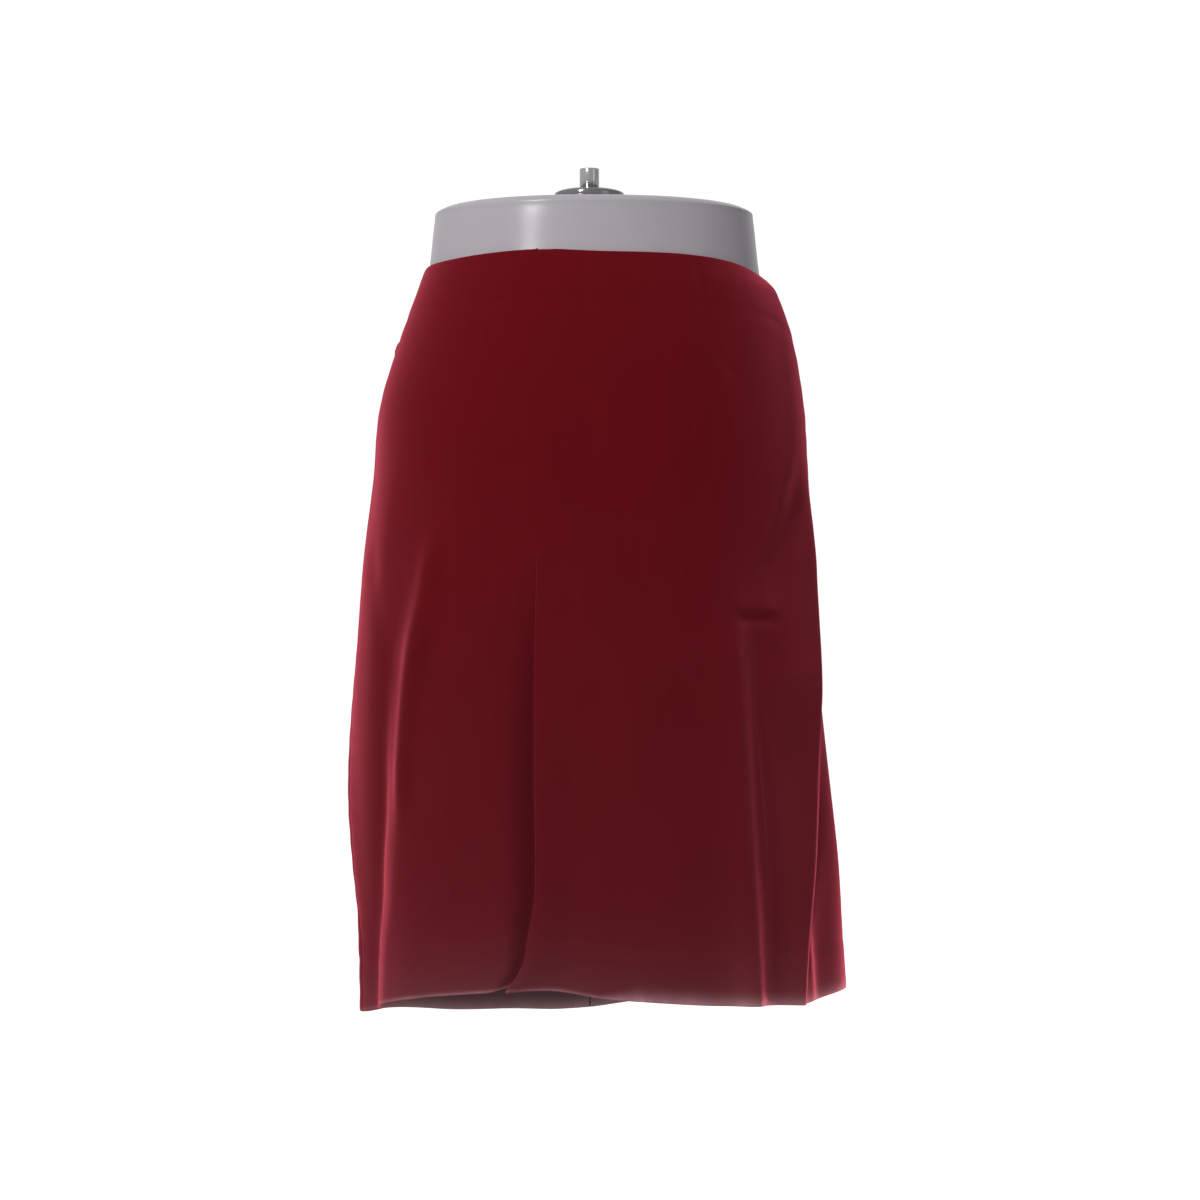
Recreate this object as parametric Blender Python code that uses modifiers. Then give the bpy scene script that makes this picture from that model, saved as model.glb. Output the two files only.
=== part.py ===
"""Wrap skirt filled out by a hanging hip form.

Metres, +Z up. The origin is the top of the hanging rod, the front faces -Y and the viewer's right
is +X. "Drop" is the distance below the origin. Angles go round the rod's axis in degrees, 0 at the
front, positive towards the viewer's right and 180 at the back.
"""

from math import atan2, cos, degrees, exp, pi, radians, sin

import bmesh
import bpy
from mathutils import Vector

OBJECT = "wrap_skirt_on_hip_form"

# Cloth
WALL = 0.0015
SEAM_GAP = 0.0003
LEAST_RADIUS = 0.1000
LAP_GAP = 0.0006
PLAN_POWER = 2.3
ROWS = 15
LEFT_SEAM = -84.0
RIGHT_SEAM = 88.0
BACK_SEAM = 180.0
OVERLAP_START = -22.0
OVERLAP_SETTLED = 15.0
UNDERLAP_END = 38.0
UNDERLAP_FADE = 8.0
UNDERLAP_LIFT = 0.004

# Hanging rod and its collar
ROD_RADIUS = 0.0077
FLANGE_RADIUS = 0.0275
FLANGE_TOP = 0.0162
FLANGE_EDGE = 0.0205
FLANGE_FOOT = 0.0286
ROD_FOOT = 0.0285
TURNED_STEPS = 40

# Form
FORM_SHIFT = 0.0036
FORM_POWER = 2.2
FORM_SIDES = 40
FORM_RINGS = 26

# Horizontal sections of the skirt, as half sizes from the rod's axis
# drop, left, right, front, back
SECTIONS = (
    (0.075, 0.1262, 0.1325, 0.1015, 0.1010),
    (0.086, 0.1305, 0.1385, 0.1040, 0.1045),
    (0.100, 0.1355, 0.1470, 0.1070, 0.1090),
    (0.135, 0.1482, 0.1586, 0.1130, 0.1190),
    (0.187, 0.1633, 0.1674, 0.1195, 0.1300),
    (0.240, 0.1692, 0.1715, 0.1235, 0.1350),
    (0.320, 0.1760, 0.1735, 0.1255, 0.1330),
    (0.420, 0.1805, 0.1765, 0.1260, 0.1300),
    (0.530, 0.1805, 0.1755, 0.1250, 0.1270),
    (0.610, 0.1755, 0.1715, 0.1240, 0.1250),
    (0.680, 0.1730, 0.1695, 0.1230, 0.1240),
)

# Upper edge of the skirt
# angle, drop
WAIST_EDGE = (
    (-180, 0.0840),
    (-120, 0.0855),
    (-90, 0.0855),
    (-78, 0.0810),
    (-60, 0.0790),
    (-22, 0.0750),
    (5, 0.0768),
    (38, 0.0777),
    (57, 0.0810),
    (68, 0.0865),
    (82, 0.0967),
    (92, 0.1000),
    (120, 0.0960),
    (180, 0.0840),
)

# Lower edge of the skirt
# angle, drop
HEM_EDGE = (
    (-180, 0.6760),
    (-163, 0.6790),
    (-139, 0.6765),
    (-106, 0.6665),
    (-90, 0.6615),
    (-68, 0.6455),
    (-50, 0.6370),
    (-28, 0.6308),
    (-12, 0.6290),
    (5, 0.6350),
    (20, 0.6380),
    (57, 0.6455),
    (75, 0.6500),
    (90, 0.6525),
    (106, 0.6510),
    (135, 0.6620),
    (163, 0.6715),
    (180, 0.6760),
)

# Free edge of the overlap
# drop, sideways place
FREE_EDGE = (
    (0.075, -0.0390),
    (0.313, -0.0385),
    (0.467, -0.0414),
    (0.545, -0.0395),
    (0.585, -0.0496),
    (0.614, -0.0575),
    (0.635, -0.0636),
)

# Folds that run down to the hem: a crest goes out, a valley goes in, and a lean tips it sideways
# name, angle where it starts, angle at the hem, drop where it starts, drop where it is full,
# half width, out, lean
FOLDS = (
    ("left ridge", -56, -66, 0.290, 0.430, 0.014, 0.0045, -0.0040),
    ("left valley", -66, -75, 0.300, 0.470, 0.010, -0.0090, 0.0),
    ("left flute", -84, -91, 0.250, 0.440, 0.017, 0.0065, 0.0),
    ("right soft ridge", 47, 56, 0.340, 0.450, 0.016, 0.0030, 0.0),
    ("right hollow", 66, 65, 0.240, 0.340, 0.016, -0.0030, 0.0),
    ("right knife edge", 84, 74, 0.215, 0.330, 0.012, 0.0060, 0.0050),
    ("right valley", 94, 84, 0.400, 0.600, 0.011, -0.0070, 0.0),
    ("right flute", 103, 105, 0.315, 0.680, 0.031, 0.0465, 0.0),
    ("right back valley", 128, 130, 0.300, 0.560, 0.024, -0.0090, 0.0),
    ("right back flute", 150, 152, 0.280, 0.560, 0.026, 0.0080, 0.0),
    ("back seam valley", 180, 180, 0.260, 0.560, 0.030, -0.0050, 0.0),
    ("left back flute", -150, -153, 0.280, 0.560, 0.026, 0.0085, 0.0),
    ("left back valley", -126, -128, 0.300, 0.560, 0.024, -0.0080, 0.0),
    ("left rear flute", -107, -108, 0.300, 0.560, 0.018, 0.0060, 0.0),
)

# How far the overlap's free edge stands off the underlap
EDGE_LIFT = 0.0045
EDGE_LIFT_FROM = 0.300
EDGE_LIFT_WIDTH = 0.020

# Columns of the cloth panels: finer where the folds are sharp
# from angle, to angle, step
COLUMNS = (
    (-180, -100, 4.0),
    (-100, -56, 2.0),
    (-56, 44, 5.0),
    (44, 68, 3.0),
    (68, 92, 2.0),
    (92, 180, 4.0),
)

# Sections of the form, from the middle of its top to the middle of its bottom
# drop, half width, front, back
FORM = (
    (0.0290, 0.0000, 0.0000, 0.0000),
    (0.0297, 0.0580, 0.0450, 0.0440),
    (0.0318, 0.1050, 0.0815, 0.0800),
    (0.0360, 0.1225, 0.0950, 0.0930),
    (0.0440, 0.1252, 0.0968, 0.0950),
    (0.0800, 0.1292, 0.0985, 0.0970),
    (0.1000, 0.1335, 0.1025, 0.1040),
    (0.1350, 0.1480, 0.1085, 0.1150),
    (0.1870, 0.1610, 0.1160, 0.1260),
    (0.2400, 0.1655, 0.1195, 0.1310),
    (0.3000, 0.1640, 0.1185, 0.1270),
    (0.3600, 0.1550, 0.1120, 0.1170),
    (0.4100, 0.1380, 0.1000, 0.1030),
    (0.4430, 0.1080, 0.0790, 0.0800),
    (0.4560, 0.0600, 0.0430, 0.0440),
    (0.4580, 0.0000, 0.0000, 0.0000),
)

# name: base colour, roughness, metallic
MATERIALS = {
    "skirt_cloth": ((0.115, 0.008, 0.012, 1.0), 0.85, 0.0),
    "form_plastic": ((0.38, 0.36, 0.38, 1.0), 0.5, 0.0),
    "chrome": ((0.80, 0.80, 0.82, 1.0), 0.12, 1.0),
}


def clear_scene():
    for old in list(bpy.data.objects):
        bpy.data.objects.remove(old, do_unlink=True)


def smooth_step(start, end, value):
    share = min(1.0, max(0.0, (value - start) / (end - start)))
    return share * share * (3.0 - 2.0 * share)


def read_table(rows, at, column):
    """A smooth curve through one column of a table whose first column rises."""
    last = len(rows) - 1
    at = min(rows[last][0], max(rows[0][0], at))
    low = max(i for i in range(last) if rows[i][0] <= at)

    def slope(i):
        before, after = rows[max(i - 1, 0)], rows[min(i + 1, last)]
        return (after[column] - before[column]) / (after[0] - before[0])

    step = rows[low + 1][0] - rows[low][0]
    t = (at - rows[low][0]) / step
    return (
        rows[low][column] * (1 + 2 * t) * (1 - t) ** 2
        + slope(low) * step * t * (1 - t) ** 2
        + rows[low + 1][column] * t * t * (3 - 2 * t)
        + slope(low + 1) * step * t * t * (t - 1)
    )


def section_point(angle, drop, left, right, front, back, power):
    """A point on a rounded section with its own half size on each of the four sides."""
    across, along = sin(radians(angle)), -cos(radians(angle))
    width = right if across > 0 else left
    depth = back if along > 0 else front
    radius = ((abs(across) / width) ** power + (abs(along) / depth) ** power) ** (-1 / power)
    return Vector((radius * across, radius * along, -drop))


def skirt_base(angle, drop):
    sizes = [read_table(SECTIONS, drop, column) for column in range(1, 5)]
    return section_point(angle, drop, *sizes, PLAN_POWER)


def outward(angle, drop):
    """The level direction square to the skirt, and the one that runs round it."""
    step = 1.5
    along = skirt_base(angle + step, drop) - skirt_base(angle - step, drop)
    along.normalize()
    return Vector((along.y, -along.x, 0.0)), along


def angle_between(angle, other):
    return (angle - other + 180.0) % 360.0 - 180.0


def skirt_point(angle, drop):
    """A point on the skirt's outer face, with its folds."""
    base = skirt_base(angle, drop)
    out_way, round_way = outward(angle, drop)
    radius = base.xy.length
    place = base
    for _, start_angle, hem_angle, start, full, half_width, out, lean in FOLDS:
        grown = smooth_step(start, full, drop)
        down = smooth_step(start, 0.65, drop)
        centre = start_angle + (hem_angle - start_angle) * down
        away = radians(angle_between(angle, centre)) * radius / half_width
        height = grown * exp(-away * away)
        place = place + out_way * out * height + round_way * lean * height
    return place


def free_edge_angle(drop):
    """The angle at which the overlap's free edge lies."""
    across = read_table(FREE_EDGE, drop, 1)
    low, high = -60.0, 0.0
    for _ in range(30):
        middle = (low + high) / 2
        if skirt_base(middle, drop).x < across:
            low = middle
        else:
            high = middle
    return (low + high) / 2


def drop_at(angle, share, lift):
    """The drop a share of the way from the waist edge to the hem."""
    turn = angle_between(angle, 0.0)
    waist = read_table(WAIST_EDGE, turn, 1)
    hem = read_table(HEM_EDGE, turn, 1) - lift
    return waist + (hem - waist) * share


def skirt_face(angle, share):
    drop = drop_at(angle, share, 0.0)
    return skirt_point(angle, drop)


def underlap_face(angle, share):
    """The underlap lies one wall further in than the overlap and ends a little higher."""
    lift = UNDERLAP_LIFT * smooth_step(-34.0, -22.0, angle)
    return skirt_point(angle, drop_at(angle, share, lift))


def overlap_face(column, share):
    """The overlap lies over the underlap and comes in to the skirt's own face past its end."""
    edge = free_edge_angle(drop_at(column, share, 0.0))
    follow = 1 - smooth_step(OVERLAP_START, OVERLAP_SETTLED, column)
    angle = column + (edge - OVERLAP_START) * follow
    drop = drop_at(angle, share, 0.0)
    over = 1 - smooth_step(UNDERLAP_END + 1.0, UNDERLAP_END + UNDERLAP_FADE, angle)
    from_edge = radians(angle - edge) * skirt_base(angle, drop).xy.length / EDGE_LIFT_WIDTH
    lift = EDGE_LIFT * smooth_step(EDGE_LIFT_FROM, 0.6, drop) * exp(-from_edge * from_edge)
    out_way, _ = outward(angle, drop)
    return skirt_point(angle, drop) + out_way * ((WALL + LAP_GAP) * over + lift)


def column_angles(start, end):
    """The angles of a panel's columns from its first edge to its last."""
    inner = []
    for first, last, step in COLUMNS:
        count = round((last - first) / step)
        for turn in (0.0, 360.0):
            inner += [first + turn + step * i for i in range(count)]
    inner = sorted(a for a in inner if start + 1.0 < a < end - 1.0)
    return [start, *inner, end]


def material(name):
    made = bpy.data.materials.get(name)
    if made is None:
        colour, roughness, metallic = MATERIALS[name]
        made = bpy.data.materials.new(name)
        made.use_nodes = True
        shader = made.node_tree.nodes["Principled BSDF"]
        shader.inputs["Base Color"].default_value = colour
        shader.inputs["Roughness"].default_value = roughness
        shader.inputs["Metallic"].default_value = metallic
    return made


def add_object(mesh, name, material_name, collection):
    made = bpy.data.objects.new(name, mesh)
    mesh.materials.append(material(material_name))
    mesh.shade_smooth()
    collection.objects.link(made)
    return made


def cloth_panel(name, face, start, end, collection):
    """A grid laid on the face function between two angles, made a wall by thickening it inwards."""
    margin = degrees(SEAM_GAP / 2 / LEAST_RADIUS)
    angles = column_angles(start + margin, end - margin)
    build = bmesh.new()
    bmesh.ops.create_grid(build, x_segments=len(angles) - 1, y_segments=ROWS, size=0.5)
    for point in build.verts:
        column = round((point.co.x + 0.5) * (len(angles) - 1))
        share = 0.5 - point.co.y
        point.co = face(angles[column], share)
    mesh = bpy.data.meshes.new(name)
    build.to_mesh(mesh)
    build.free()
    made = add_object(mesh, name, "skirt_cloth", collection)
    wall = made.modifiers.new("wall", "SOLIDIFY")
    wall.thickness = WALL
    wall.offset = -1.0
    return made


def hip_form(collection):
    """A sphere drawn out to the form's sections, ring by ring."""
    build = bmesh.new()
    bmesh.ops.create_uvsphere(build, u_segments=FORM_SIDES, v_segments=FORM_RINGS, radius=1.0)
    rows = [(float(i), *row) for i, row in enumerate(FORM)]
    for point in build.verts:
        from_top = atan2(point.co.xy.length, point.co.z) / pi * (len(FORM) - 1)
        angle = degrees(atan2(point.co.x, -point.co.y))
        drop, half_width, front, back = (
            read_table(rows, from_top, column) for column in range(1, 5)
        )
        if half_width < 0.001:
            point.co = Vector((0.0, 0.0, -drop))
        else:
            point.co = section_point(
                angle, drop, half_width, half_width, front, back, FORM_POWER
            )
        point.co.x += FORM_SHIFT
    mesh = bpy.data.meshes.new("hip_form")
    build.to_mesh(mesh)
    build.free()
    return add_object(mesh, "hip_form", "form_plastic", collection)


def turned(name, profile, collection):
    """A profile of (radius, drop) pairs turned round the rod's axis, from its top downwards."""
    build = bmesh.new()
    points = [build.verts.new((radius, 0.0, -drop)) for radius, drop in profile]
    for first, second in zip(points, points[1:]):
        build.edges.new((first, second))
    mesh = bpy.data.meshes.new(name)
    build.to_mesh(mesh)
    build.free()
    made = add_object(mesh, name, "chrome", collection)
    screw = made.modifiers.new("turn", "SCREW")
    screw.steps = screw.render_steps = TURNED_STEPS
    screw.use_merge_vertices = True
    screw.merge_threshold = 0.0001
    return made


def hanging_rod(collection):
    edge = 0.0008
    profile = [
        (0.0, 0.0),
        (ROD_RADIUS - edge, 0.0),
        (ROD_RADIUS, edge),
        (ROD_RADIUS, ROD_FOOT),
        (0.0, ROD_FOOT),
    ]
    return turned("hanging_rod", profile, collection)


def rod_flange(collection):
    """A domed disc round the rod, open at its bore."""
    bore = ROD_RADIUS + SEAM_GAP
    dome = [
        (
            bore + (FLANGE_RADIUS - bore) * sin(radians(turn)),
            FLANGE_EDGE - (FLANGE_EDGE - FLANGE_TOP) * cos(radians(turn)),
        )
        for turn in range(0, 91, 15)
    ]
    profile = [*dome, (FLANGE_RADIUS, FLANGE_FOOT), (bore, FLANGE_FOOT), dome[0]]
    return turned("rod_flange", profile, collection)


def main():
    clear_scene()
    collection = bpy.data.collections.new(OBJECT)
    bpy.context.scene.collection.children.link(collection)
    cloth_panel("skirt_front_overlap", overlap_face, OVERLAP_START, RIGHT_SEAM, collection)
    cloth_panel("skirt_front_underlap", underlap_face, LEFT_SEAM, UNDERLAP_END, collection)
    cloth_panel("skirt_back_right", skirt_face, RIGHT_SEAM, BACK_SEAM, collection)
    cloth_panel("skirt_back_left", skirt_face, -BACK_SEAM, LEFT_SEAM, collection)
    hip_form(collection)
    rod_flange(collection)
    hanging_rod(collection)


if __name__ == "__main__":
    main()
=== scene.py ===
"""Wrap skirt filled out by a hanging hip form: finished cloth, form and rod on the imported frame.

Metres, +Z up. The origin is the top of the hanging rod, the front faces -Y and the viewer's right
is +X. "Drop" is the distance below the origin. Angles go round the rod's axis in degrees, 0 at the
front, positive towards the viewer's right and 180 at the back.
"""

import bmesh
import bpy
import numpy as np
from bpy.props import FloatProperty, FloatVectorProperty, PointerProperty
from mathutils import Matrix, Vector


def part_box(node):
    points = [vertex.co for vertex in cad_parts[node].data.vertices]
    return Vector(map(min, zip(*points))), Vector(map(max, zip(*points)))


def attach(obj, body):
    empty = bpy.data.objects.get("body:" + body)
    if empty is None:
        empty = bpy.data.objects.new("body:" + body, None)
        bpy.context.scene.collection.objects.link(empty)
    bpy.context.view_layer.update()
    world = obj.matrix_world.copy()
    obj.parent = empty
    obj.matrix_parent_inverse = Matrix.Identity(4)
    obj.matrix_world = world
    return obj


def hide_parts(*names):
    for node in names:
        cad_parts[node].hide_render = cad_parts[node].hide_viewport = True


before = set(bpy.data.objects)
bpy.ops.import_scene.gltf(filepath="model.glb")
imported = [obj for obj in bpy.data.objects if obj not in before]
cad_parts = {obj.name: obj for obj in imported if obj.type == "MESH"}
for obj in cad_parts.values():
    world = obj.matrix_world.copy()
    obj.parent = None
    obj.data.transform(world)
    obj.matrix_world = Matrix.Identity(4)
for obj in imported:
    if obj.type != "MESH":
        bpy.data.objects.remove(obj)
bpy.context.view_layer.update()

bl_info = {
    "name": "Wrap skirt on a hanging hip form",
    "version": (1, 0, 0),
    "blender": (4, 5, 0),
    "location": "View3D > Sidebar > Wrap skirt",
    "description": "Builds the cloth, form, rod and stage of a wrap skirt",
    "category": "Object",
}

BODY = "root"

ROD_LOW, ROD_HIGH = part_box("hanging_rod")
FLANGE_LOW, FLANGE_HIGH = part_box("rod_flange")
FORM_LOW, FORM_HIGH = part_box("hip_form")
SKIRT_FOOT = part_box("skirt_back_right")[0].z

# Lie of the skirt
PLAN_POWER = 2.3
MEAN_RADIUS = 0.1550
LEFT_SEAM = -87.5
RIGHT_SEAM = 88.0
BACK_SEAM = 180.0
OVERLAP_START = -22.0
OVERLAP_SETTLED = 37.0
UNDERLAP_END = 38.0
LAP_ENDS = 39.0
LAP_GONE = 46.0
UNDERLAP_LIFT = 0.004
UNDERLAP_LIFTS = (-34.0, -22.0)
LOWEST_DROP = 0.650

# How fine the cloth is. Its columns crowd together beside the overlap's free edge.
ROWS = 215
ROLL_STEPS = 8
TURN_STEPS = 4
CROWDING = 6.0
CROWD_WIDTH = 0.05

# Horizontal sections of the skirt, as half sizes from the rod's axis
# drop, left, right, front, back
SECTIONS = (
    (0.075, 0.1262, 0.1325, 0.1015, 0.1010),
    (0.086, 0.1305, 0.1385, 0.1040, 0.1045),
    (0.100, 0.1355, 0.1470, 0.1070, 0.1090),
    (0.135, 0.1482, 0.1586, 0.1130, 0.1190),
    (0.187, 0.1633, 0.1674, 0.1195, 0.1300),
    (0.240, 0.1674, 0.1715, 0.1235, 0.1350),
    (0.320, 0.1770, 0.1720, 0.1255, 0.1330),
    (0.420, 0.1832, 0.1787, 0.1260, 0.1300),
    (0.530, 0.1768, 0.1773, 0.1250, 0.1270),
    (0.610, 0.1702, 0.1715, 0.1240, 0.1250),
    (0.680, 0.1700, 0.1695, 0.1230, 0.1240),
)

# Upper edge of the skirt
# angle, drop
WAIST_EDGE = (
    (-180, 0.0840),
    (-120, 0.0855),
    (-90, 0.0855),
    (-78, 0.0810),
    (-60, 0.0790),
    (-22, 0.0750),
    (5, 0.0768),
    (38, 0.0777),
    (57, 0.0810),
    (68, 0.0865),
    (82, 0.0967),
    (92, 0.1000),
    (120, 0.0960),
    (180, 0.0840),
)

# Lower edge of the skirt
# angle, drop
HEM_EDGE = (
    (-180, 0.6760),
    (-163, 0.6790),
    (-139, 0.6765),
    (-106, 0.6665),
    (-90, 0.6625),
    (-78, 0.6540),
    (-68, 0.6465),
    (-50, 0.6370),
    (-28, 0.6308),
    (-12, 0.6290),
    (5, 0.6350),
    (20, 0.6380),
    (57, 0.6455),
    (75, 0.6510),
    (90, 0.6570),
    (106, 0.6510),
    (135, 0.6620),
    (163, 0.6715),
    (180, 0.6760),
)

# Free edge of the overlap
# drop, sideways place
FREE_EDGE = (
    (0.075, -0.0390),
    (0.313, -0.0388),
    (0.384, -0.0398),
    (0.472, -0.0395),
    (0.532, -0.0384),
    (0.562, -0.0392),
    (0.591, -0.0440),
    (0.606, -0.0463),
    (0.617, -0.0503),
    (0.628, -0.0588),
    (0.636, -0.0640),
)

# Flat facets between two folds of the section
# name, first angle where it starts, first angle at the hem, last angle where it starts,
# last angle at the hem, drop where it starts
FACETS = (("right side", 52, 60, 80, 72, 0.420),)
FACET_FLATTENS = (-0.03, 0.07)

# Where the crests of the unevenly swinging folds lie
# drop, angle
LEFT_RIDGE_PATH = (
    (0.265, -49.5),
    (0.340, -50.6),
    (0.380, -53.2),
    (0.420, -54.8),
    (0.454, -56.2),
    (0.495, -58.2),
    (0.530, -60.6),
    (0.571, -63.6),
    (0.605, -67.2),
    (0.650, -68.5),
)
LEFT_VALLEY_PATH = (
    (0.285, -56.0),
    (0.340, -58.6),
    (0.380, -61.8),
    (0.420, -64.2),
    (0.454, -66.2),
    (0.495, -68.8),
    (0.530, -72.0),
    (0.571, -75.6),
    (0.605, -80.0),
    (0.650, -81.5),
)
RIGHT_STRIPE_PATH = (
    (0.280, 45.6),
    (0.414, 46.0),
    (0.475, 46.4),
    (0.535, 47.9),
    (0.594, 50.6),
    (0.620, 51.3),
    (0.650, 51.8),
)

# Folds that run down to the hem: a crest goes out and a valley goes in.
# With a crest radius of 0 a fold is a rounded bell, and otherwise straight-sided about its crest.
# name, path from where it starts, as (drop, angle) pairs, drop where it is full,
# width towards lower angles, width towards higher angles, crest radius, out
FOLDS = (
    ("left ridge", LEFT_RIDGE_PATH, 0.340, 0.030, 0.050, 0.0030, 0.0050),
    ("left valley", LEFT_VALLEY_PATH, 0.520, 0.021, 0.020, 0.0050, -0.0120),
    ("left flute", ((0.360, -91), (0.650, -88)), 0.520, 0.016, 0.018, 0.0110, 0.0118),
    ("left rear valley", ((0.330, -120), (0.650, -110)), 0.560, 0.016, 0.016, 0.0, -0.0040),
    ("right soft ridge", ((0.345, 44), (0.650, 54)), 0.390, 0.040, 0.012, 0.0030, 0.0040),
    ("right soft valley", ((0.345, 52), (0.650, 60)), 0.390, 0.012, 0.030, 0.0060, -0.0036),
    ("right knife edge", ((0.225, 80), (0.650, 72)), 0.320, 0.030, 0.010, 0.0030, 0.0085),
    ("right valley", ((0.400, 94), (0.650, 84)), 0.600, 0.011, 0.011, 0.0, -0.0070),
    ("right stripe", RIGHT_STRIPE_PATH, 0.520, 0.014, 0.0105, 0.0, 0.0044),
    ("right flute", ((0.325, 98), (0.650, 105.5)), 0.740, 0.026, 0.031, 0.0, 0.0530),
    ("right back valley", ((0.300, 128), (0.650, 130)), 0.560, 0.024, 0.024, 0.0, -0.0090),
    ("right back flute", ((0.280, 150), (0.650, 152)), 0.560, 0.026, 0.026, 0.0, 0.0080),
    ("back seam valley", ((0.260, 180), (0.650, 180)), 0.560, 0.030, 0.030, 0.0, -0.0050),
    ("left back flute", ((0.280, -150), (0.650, -153)), 0.560, 0.026, 0.026, 0.0, 0.0085),
    ("left back valley", ((0.300, -126), (0.650, -128)), 0.560, 0.024, 0.024, 0.0, -0.0080),
    ("left rear flute", ((0.300, -108), (0.650, -110)), 0.560, 0.018, 0.018, 0.0, 0.0055),
)

# Shorter creases, each a soft trough or ridge along a line
# name, start angle, start drop, end angle, end drop, half width, out
CREASES = (
    ("right side fullness", 97, 0.120, 97, 0.215, 0.030, 0.0024),
    ("right hip drag crest", 70, 0.225, 55, 0.315, 0.012, 0.0012),
    ("right hip drag", 73, 0.235, 55, 0.335, 0.017, -0.0034),
    ("right inner pleat", 89, 0.590, 94, 0.665, 0.005, 0.0022),
    ("right upper stripe", 45.4, 0.330, 48.2, 0.580, 0.010, 0.0018),
    ("right break", 46, 0.3535, 62, 0.3545, 0.0045, -0.0022),
    ("right break shelf", 44, 0.341, 60, 0.343, 0.006, 0.0009),
    ("right front dart", 42, 0.078, 43, 0.152, 0.003, -0.0005),
    ("right front dart tip", 43, 0.150, 50, 0.174, 0.003, -0.0005),
    ("right front dart fullness", 43, 0.140, 46, 0.215, 0.012, 0.0009),
    ("left side fullness", -98, 0.170, -98, 0.420, 0.030, 0.0036),
    ("left thigh ridge", -66, 0.240, -72, 0.460, 0.014, 0.0008),
    ("left upper ridge", -49.0, 0.292, -52.5, 0.395, 0.008, 0.0036),
    ("left lower ridge", -53.0, 0.345, -59.6, 0.500, 0.008, 0.0047),
    ("left hip lump", -90, 0.136, -90, 0.147, 0.006, 0.0022),
    ("left hem tube", -90, 0.590, -90, 0.690, 0.0080, 0.0028),
    ("left hip drag", -88, 0.235, -66, 0.330, 0.018, -0.0008),
    ("left thigh drag", -74, 0.300, -60, 0.395, 0.011, -0.0010),
    ("left back drag", -112, 0.240, -138, 0.350, 0.016, -0.0022),
    ("left back dart", -150, 0.086, -151, 0.190, 0.003, -0.0006),
    ("right back dart", 150, 0.086, 151, 0.190, 0.003, -0.0006),
    ("right back drag", 118, 0.235, 142, 0.345, 0.018, -0.0025),
    ("seat break", 160, 0.362, 200, 0.370, 0.014, -0.0012),
)

# Where a crease begins and ends, as shares of its length
CREASE_BEGINS = (-0.15, 0.25)
CREASE_ENDS = (0.75, 1.15)

# Slow unevenness of the cloth
# waves round, waves down a metre, phase, height
RIPPLES = (
    (5, 2.3, 0.4, 0.00045),
    (9, -3.1, 2.1, 0.00030),
    (14, 4.7, 4.0, 0.00018),
    (23, -1.9, 1.2, 0.00012),
)
RIPPLES_ABOVE = 0.25
RIPPLES_GROW = (0.20, 0.45)

# How far the overlap lies out from the underlap: pressed flat above, then its free edge lifts
LAP_OPEN = 0.0021
LAP_OPENS = (0.300, 0.400)
UNDERLAP_LIP = 0.0014
LIP_RISE = (-0.0006, 0.0001)
EDGE_LIFT = 0.0075
EDGE_LIFTS = (0.300, 0.560)
EDGE_LIFT_WIDTH = 0.020

# The hollow that the underlap falls into beside the overlap's free edge
HOLLOW_DEPTH = 0.0100
HOLLOW_GROWS = (0.285, 0.480)
HOLLOW_SHRINKS = (0.540, 0.640)
HOLLOW_CENTRE = -0.001
HOLLOW_WIDTH = 0.012
WIDER_UNDER_LAP = 1.8
NARROWER_AT_HEM = 0.5
SHALLOWER_AT_HEM = 0.35

# Turned-in hem and facing, printing through as a low step
PRINT_STEP = 0.00022
PRINT_DIP = 0.00020
PRINT_WIDTH = 0.003

# Seams: a narrow dip that puckers a little along the stitching
SEAM_DIP = 0.0004
SEAM_DIP_WIDTH = 0.005
SEAM_PUCKER = 0.00018
SEAM_PUCKER_WIDTH = 0.010
SEAM_PUCKER_PITCH = 0.021
THICK_BESIDE_SEAM = 0.006

# How far round a fold the cloth counts as turned in at the hem, and as a turned side edge that
# gets painted shade
TURNED_IN = (0.4 * np.pi, 0.6 * np.pi)
SHADED_SIDE_TURN = (0.0, 0.3 * np.pi)

# Pieces of cloth
# name, node it stands for, first angle, last angle, columns
PANELS = (
    ("front_overlap", "skirt_front_overlap", OVERLAP_START, RIGHT_SEAM, 170),
    ("front_underlap", "skirt_front_underlap", LEFT_SEAM, UNDERLAP_END, 180),
    ("back_right", "skirt_back_right", RIGHT_SEAM, BACK_SEAM, 170),
    ("back_left", "skirt_back_left", -BACK_SEAM, LEFT_SEAM, 170),
)

# Sections of the form, from the middle of its top to the middle of its bottom
# drop, half width, front, back
FORM = (
    (0.0290, 0.0000, 0.0000, 0.0000),
    (0.0297, 0.0580, 0.0450, 0.0440),
    (0.0318, 0.1050, 0.0815, 0.0800),
    (0.0360, 0.1225, 0.0950, 0.0930),
    (0.0440, 0.1252, 0.0968, 0.0950),
    (0.0800, 0.1292, 0.0985, 0.0970),
    (0.1000, 0.1335, 0.1025, 0.1040),
    (0.1350, 0.1480, 0.1085, 0.1150),
    (0.1870, 0.1606, 0.1160, 0.1260),
    (0.2400, 0.1649, 0.1195, 0.1310),
    (0.3000, 0.1640, 0.1185, 0.1270),
    (0.3600, 0.1550, 0.1120, 0.1170),
    (0.4100, 0.1380, 0.1000, 0.1030),
    (0.4430, 0.1080, 0.0790, 0.0800),
    (0.4560, 0.0600, 0.0430, 0.0440),
    (0.4580, 0.0000, 0.0000, 0.0000),
)
FORM_SHIFT = (FORM_LOW.x + FORM_HIGH.x) / 2
FORM_POWER = 2.2
FORM_SIDES = 192
FORM_RINGS = 160
SMALLEST_RING = 1e-6

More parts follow.
